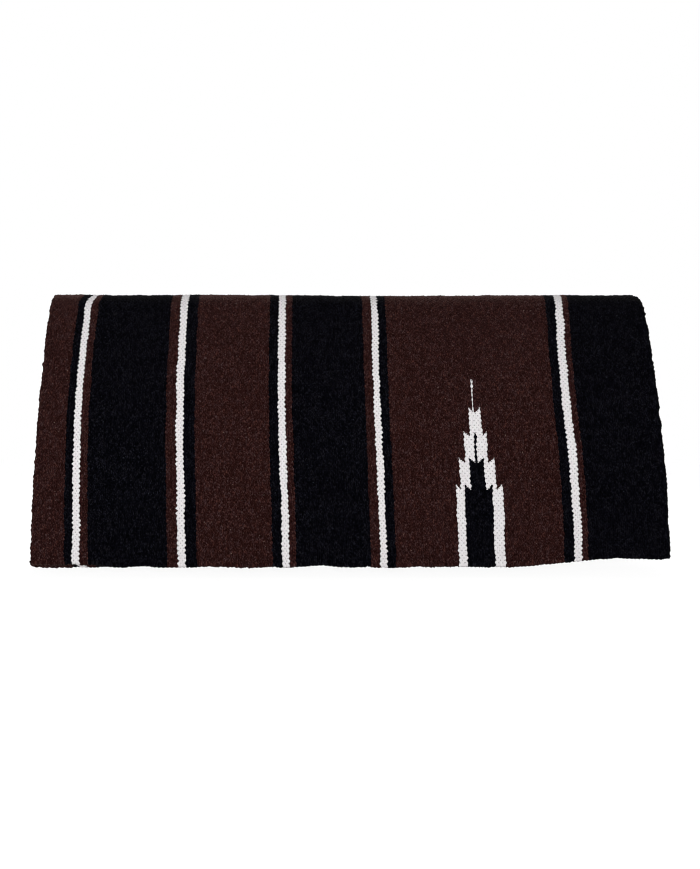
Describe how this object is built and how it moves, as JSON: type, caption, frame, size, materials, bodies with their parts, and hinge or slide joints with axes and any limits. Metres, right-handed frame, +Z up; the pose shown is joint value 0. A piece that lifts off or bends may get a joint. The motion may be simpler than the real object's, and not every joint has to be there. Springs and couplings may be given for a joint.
{
  "type": "saddle blanket",
  "caption": "Woven Western saddle blanket, folded double and draped over a ridge, with wide brown and black bands, white stripes and a stepped figure at the hem.",
  "frame": {"origin": "on the underside of the ridge, half way along it, where the blanket rests on what carries it", "axes": "+X along the ridge towards the folded end, -Y towards the flap with the stepped figure seen from the front, +Z up"},
  "size_m": [0.8385, 0.2714, 0.3696],
  "materials": {
    "black_yarn": "matt woven yarn",
    "brown_yarn": "matt heathered woven yarn",
    "white_yarn": "matt woven yarn"
  },
  "bodies": {
    "near_flap": {"near_black_band_1": "black_yarn", "near_black_band_2": "black_yarn", "near_black_core": "black_yarn", "near_black_stripe_1": "black_yarn", "near_black_stripe_2": "black_yarn", "near_black_stripe_3": "black_yarn", "near_black_stripe_4": "black_yarn", "near_black_stripe_5": "black_yarn", "near_brown_band_1": "brown_yarn", "near_brown_end": "brown_yarn", "near_brown_stripe_1": "brown_yarn", "near_brown_stripe_2": "brown_yarn", "near_brown_stripe_3": "brown_yarn", "near_brown_stripe_4": "brown_yarn", "near_brown_stripe_5": "brown_yarn", "near_figure_band": "brown_yarn", "near_fold_band": "black_yarn", "near_inner_black_1": "black_yarn", "near_inner_black_2": "black_yarn", "near_inner_brown_1": "brown_yarn", "near_inner_brown_end": "brown_yarn", "near_inner_figure_ground": "brown_yarn", "near_white_figure": "white_yarn", "near_white_stripe_1": "white_yarn", "near_white_stripe_2": "white_yarn", "near_white_stripe_3": "white_yarn", "near_white_stripe_4": "white_yarn", "near_white_stripe_5": "white_yarn"},
    "far_flap": {"far_black_band_1": "black_yarn", "far_black_band_2": "black_yarn", "far_black_core": "black_yarn", "far_black_stripe_1": "black_yarn", "far_black_stripe_2": "black_yarn", "far_black_stripe_3": "black_yarn", "far_black_stripe_4": "black_yarn", "far_black_stripe_5": "black_yarn", "far_brown_band_1": "brown_yarn", "far_brown_end": "brown_yarn", "far_brown_stripe_1": "brown_yarn", "far_brown_stripe_2": "brown_yarn", "far_brown_stripe_3": "brown_yarn", "far_brown_stripe_4": "brown_yarn", "far_brown_stripe_5": "brown_yarn", "far_figure_band": "brown_yarn", "far_fold_band": "black_yarn", "far_inner_black_1": "black_yarn", "far_inner_black_2": "black_yarn", "far_inner_brown_1": "brown_yarn", "far_inner_brown_end": "brown_yarn", "far_inner_figure_ground": "brown_yarn", "far_white_figure": "white_yarn", "far_white_stripe_1": "white_yarn", "far_white_stripe_2": "white_yarn", "far_white_stripe_3": "white_yarn", "far_white_stripe_4": "white_yarn", "far_white_stripe_5": "white_yarn"}
  },
  "joints": [
    {"name": "ridge_fold", "type": "hinge", "parent": "near_flap", "child": "far_flap", "pos_m": [0, 0, 0.0103], "axis": [1, 0, 0], "range_deg": [0, 137]}
  ]
}
